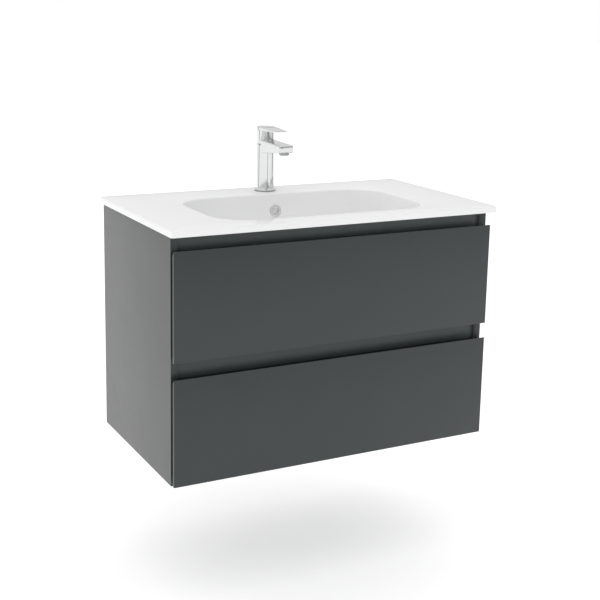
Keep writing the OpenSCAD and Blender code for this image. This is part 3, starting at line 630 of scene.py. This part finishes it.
def build_lever():
    cap = rod("tap_lever_cast", COLUMN_R, CAP_BLANK_LOW, CAP_TOP)
    combine(cap, slanted_cut("cap_space", CAP_FRONT, CAP_BACK, COLUMN_R + CAP_MARGIN), "INTERSECT")

    outline = [(-PADDLE_ROOT_HALF, PADDLE_ROOT_Y), (-PADDLE_HALF_TIP, -PADDLE_REACH),
               (PADDLE_HALF_TIP, -PADDLE_REACH), (PADDLE_ROOT_HALF, PADDLE_ROOT_Y)]
    plate = prism("paddle", outline, LEVER_TOP - PADDLE_T, LEVER_TOP, axis="Z")
    for vertex in plate.data.vertices:
        upper = vertex.co.z > LEVER_TOP - PADDLE_T / 2
        if vertex.co.y < -PADDLE_REACH / 2:
            vertex.co.z = LEVER_TOP - (PADDLE_TIP_DROP if upper else PADDLE_TIP_UNDER)
        elif upper:
            vertex.co.z = LEVER_TOP - PADDLE_ROOT_DROP
    combine(cap, plate, "UNION")
    dissolve_flat(cap, 0.5)
    round_edges(cap, CAP_EDGE_R, 3, 40)

    combine(cap, rod("hollow", CAP_HOLLOW_R, CAP_BLANK_LOW - PAST, CAP_CEILING), "DIFFERENCE")
    stem_top = CAP_CEILING + 2 * JOIN
    stem = prism("stem", [(STEM_Y - STEM_HALF, STEM_LOW), (STEM_Y + STEM_HALF, STEM_LOW),
                          (STEM_Y + STEM_HALF, stem_top), (STEM_Y - STEM_HALF, stem_top)],
                 -STEM_HALF, STEM_HALF)
    combine(cap, stem, "UNION")
    shade_smooth(cap, 30)
    return settle(at_tap(cap), MATERIALS["chrome"], "tap_lever")


build_basin()
build_tap_body()
build_lever()

FRONT_EDGE_LACQUER = lacquer("front_edge_lacquer", LACQUER, 0.4)


def refine_side(node):
    """A side panel in a lighter copy of the lacquer, as painted light for the light falling from the left;
    its faces towards the front keep the lacquer colour of the drawer fronts.
    """
    piece = refine(node, MATERIALS["lacquer"], PANEL_BEVEL)
    piece.data.materials.append(FRONT_EDGE_LACQUER)
    # Faces towards the front keep the lacquer colour; all other faces keep the lighter painted-light grey.
    for polygon in piece.data.polygons:
        if polygon.normal.y < -0.8:
            polygon.material_index = 1


SIDES = ("side_panel_left", "side_panel_right")
for panel in SIDES:
    refine_side(panel)

FINE = {"overflow_ring", "waste_body", "waste_plug", "tap_aerator", "tap_rotor", "tap_gasket", "plug_seal",
        "hanger_screws", "waste_washer", "wall_rosette", "trap_dip_tube", "trap_outlet_pipe", "tap_stud",
        "channel_brackets"}
DONE = {"basin_deck", "basin_bowl", "tap_body", "tap_lever", *SIDES}
for node, slot_name in NODE_SLOT.items():
    if node in DONE:
        continue
    width = FINE_BEVEL if node in FINE or "runner" in node else BEVEL
    refine(node, AERATOR_METAL if node == "tap_aerator" else MATERIALS[slot_name], width)


# ---- Stage, light and camera ----

DECK_HEIGHT = 0.85  # above the floor
CAMERA_PLACE = Vector((-1.259, -2.613, TOP_Z + 0.475))
CAMERA_YAW = 28.0
CAMERA_PITCH = 11.6
CAMERA_ROLL = 1.18
CAMERA_LENS = 69.48  # on a 36 mm sensor
CAMERA_SHIFT_Y = -0.1
SIDE_GLOW = 0.1  # added to the room from the left and behind
FRONT_SHADE = 0.2  # taken from the room in front, to the right
ROOM = 0.74
ROOM_RISE = 0.36  # added towards the ceiling


def build_stage():
    bm = bmesh.new()
    size = 30.0
    z = DECK_Z - DECK_HEIGHT
    corners = [bm.verts.new((x, y, z))
               for x, y in ((-size, -size), (size, -size), (size, size), (-size, size))]
    bm.faces.new(corners)
    floor = add_object("floor", bm)
    paint = Paint("pale_floor", Roughness=0.6, Emission_Color=(1, 1, 1, 1), Emission_Strength=0.28)
    paint.colour(paint.noise(3), (0.93, 0.93, 0.93), (0.95, 0.95, 0.95))
    floor.data.materials.append(paint.material)


def area_light(name, place, target, size, power):
    data = bpy.data.lights.new(name, "AREA")
    data.shape = "SQUARE"
    data.size = size
    data.energy = power
    light = bpy.data.objects.new(name, data)
    light.location = place
    light.rotation_euler = (Vector(target) - Vector(place)).to_track_quat("-Z", "Y").to_euler()
    bpy.context.scene.collection.objects.link(light)


def build_camera():
    """A long lens to the left of the cabinet, with a little shift to keep uprights upright."""
    yaw, pitch, roll = (math.radians(d) for d in (CAMERA_YAW, CAMERA_PITCH, CAMERA_ROLL))
    forward = Vector((math.sin(yaw) * math.cos(pitch), math.cos(yaw) * math.cos(pitch), -math.sin(pitch)))
    level = Vector((math.cos(yaw), -math.sin(yaw), 0))
    up = Vector((math.sin(yaw) * math.sin(pitch), math.cos(yaw) * math.sin(pitch), math.cos(pitch)))
    right = math.cos(roll) * level + math.sin(roll) * up
    top = math.cos(roll) * up - math.sin(roll) * level
    data = bpy.data.cameras.new("camera")
    data.sensor_width = 36
    data.lens = CAMERA_LENS
    data.shift_y = CAMERA_SHIFT_Y
    camera = bpy.data.objects.new("camera", data)
    camera.matrix_world = Matrix((
        (right.x, top.x, -forward.x, CAMERA_PLACE.x),
        (right.y, top.y, -forward.y, CAMERA_PLACE.y),
        (right.z, top.z, -forward.z, CAMERA_PLACE.z),
        (0, 0, 0, 1)))
    bpy.context.scene.collection.objects.link(camera)
    bpy.context.scene.camera = camera


def build_flags():
    """Dark cards outside the view, which only the shiny surfaces see."""
    paint = Paint("dark_card", Roughness=0.9)
    paint.colour(paint.noise(3), (0.14, 0.14, 0.14), (0.18, 0.18, 0.18))
    for name, azimuth, width, distance in (("flag_front", 4, 0.22, 2.6), ("flag_right", 75, 0.5, 2.4),
                                           ("flag_left", -118, 0.35, 2.4)):
        angle = math.radians(azimuth)
        place = Vector((math.sin(angle) * distance, TAP_AXIS.y - math.cos(angle) * distance, 0))
        across = Vector((math.cos(angle), math.sin(angle), 0)) * width / 2
        bm = bmesh.new()
        left, right = place - across, place + across
        low, high = DECK_Z - 0.6, DECK_Z + 0.9
        corners = [bm.verts.new((p.x, p.y, z))
                   for p, z in ((left, low), (right, low), (right, high), (left, high))]
        bm.faces.new(corners)
        card = add_object(name, bm)
        card.data.materials.append(paint.material)
        card.visible_camera = False
        card.visible_diffuse = False
        card.visible_shadow = False


def build_world():
    """A white room, which surfaces see a little darker in front and brighter above and behind."""
    world = bpy.data.worlds.new("studio")
    world.use_nodes = True
    nodes, links = world.node_tree.nodes, world.node_tree.links
    direction = nodes.new("ShaderNodeTexCoord").outputs["Generated"]

    def math_node(operation, first, second):
        node = nodes.new("ShaderNodeMath")
        node.operation = operation
        for socket, value in zip(node.inputs, (first, second)):
            if isinstance(value, (int, float)):
                socket.default_value = value
            else:
                links.new(value, socket)
        return node.outputs[0]

    def towards(x, y, z, start, end):
        """From 0 to 1 as the direction turns towards (x, y, z), between two cosines."""
        dot = nodes.new("ShaderNodeVectorMath")
        dot.operation = "DOT_PRODUCT"
        dot.inputs[1].default_value = Vector((x, y, z)).normalized()
        links.new(direction, dot.inputs[0])
        spread = nodes.new("ShaderNodeMapRange")
        spread.interpolation_type = "SMOOTHSTEP"
        spread.inputs["From Min"].default_value = start
        spread.inputs["From Max"].default_value = end
        links.new(dot.outputs["Value"], spread.inputs["Value"])
        return spread.outputs["Result"]

    glow = math_node("MULTIPLY", towards(-0.75, 0.66, -0.1, 0.35, 0.95), SIDE_GLOW)
    rise = math_node("MULTIPLY", towards(0, 0, 1, 0.0, 1.0), ROOM_RISE)
    flag = math_node("MULTIPLY", towards(0.5, -0.86, -0.05, 0.55, 0.95), FRONT_SHADE)
    light = math_node("SUBTRACT", math_node("ADD", math_node("ADD", glow, rise), ROOM), flag)
    path = nodes.new("ShaderNodeLightPath").outputs["Is Camera Ray"]
    seen = math_node("ADD", math_node("MULTIPLY", light, math_node("SUBTRACT", 1.0, path)), path)
    background = nodes["Background"]
    background.inputs["Color"].default_value = (1, 1, 1, 1)
    links.new(seen, background.inputs["Strength"])
    bpy.context.scene.world = world


build_stage()
build_flags()
build_world()
area_light("top_soft", (-0.3, -0.6, 3.0), (0, -0.25, 0), 3.0, 5)
build_camera()
bpy.context.scene.view_settings.view_transform = "Standard"
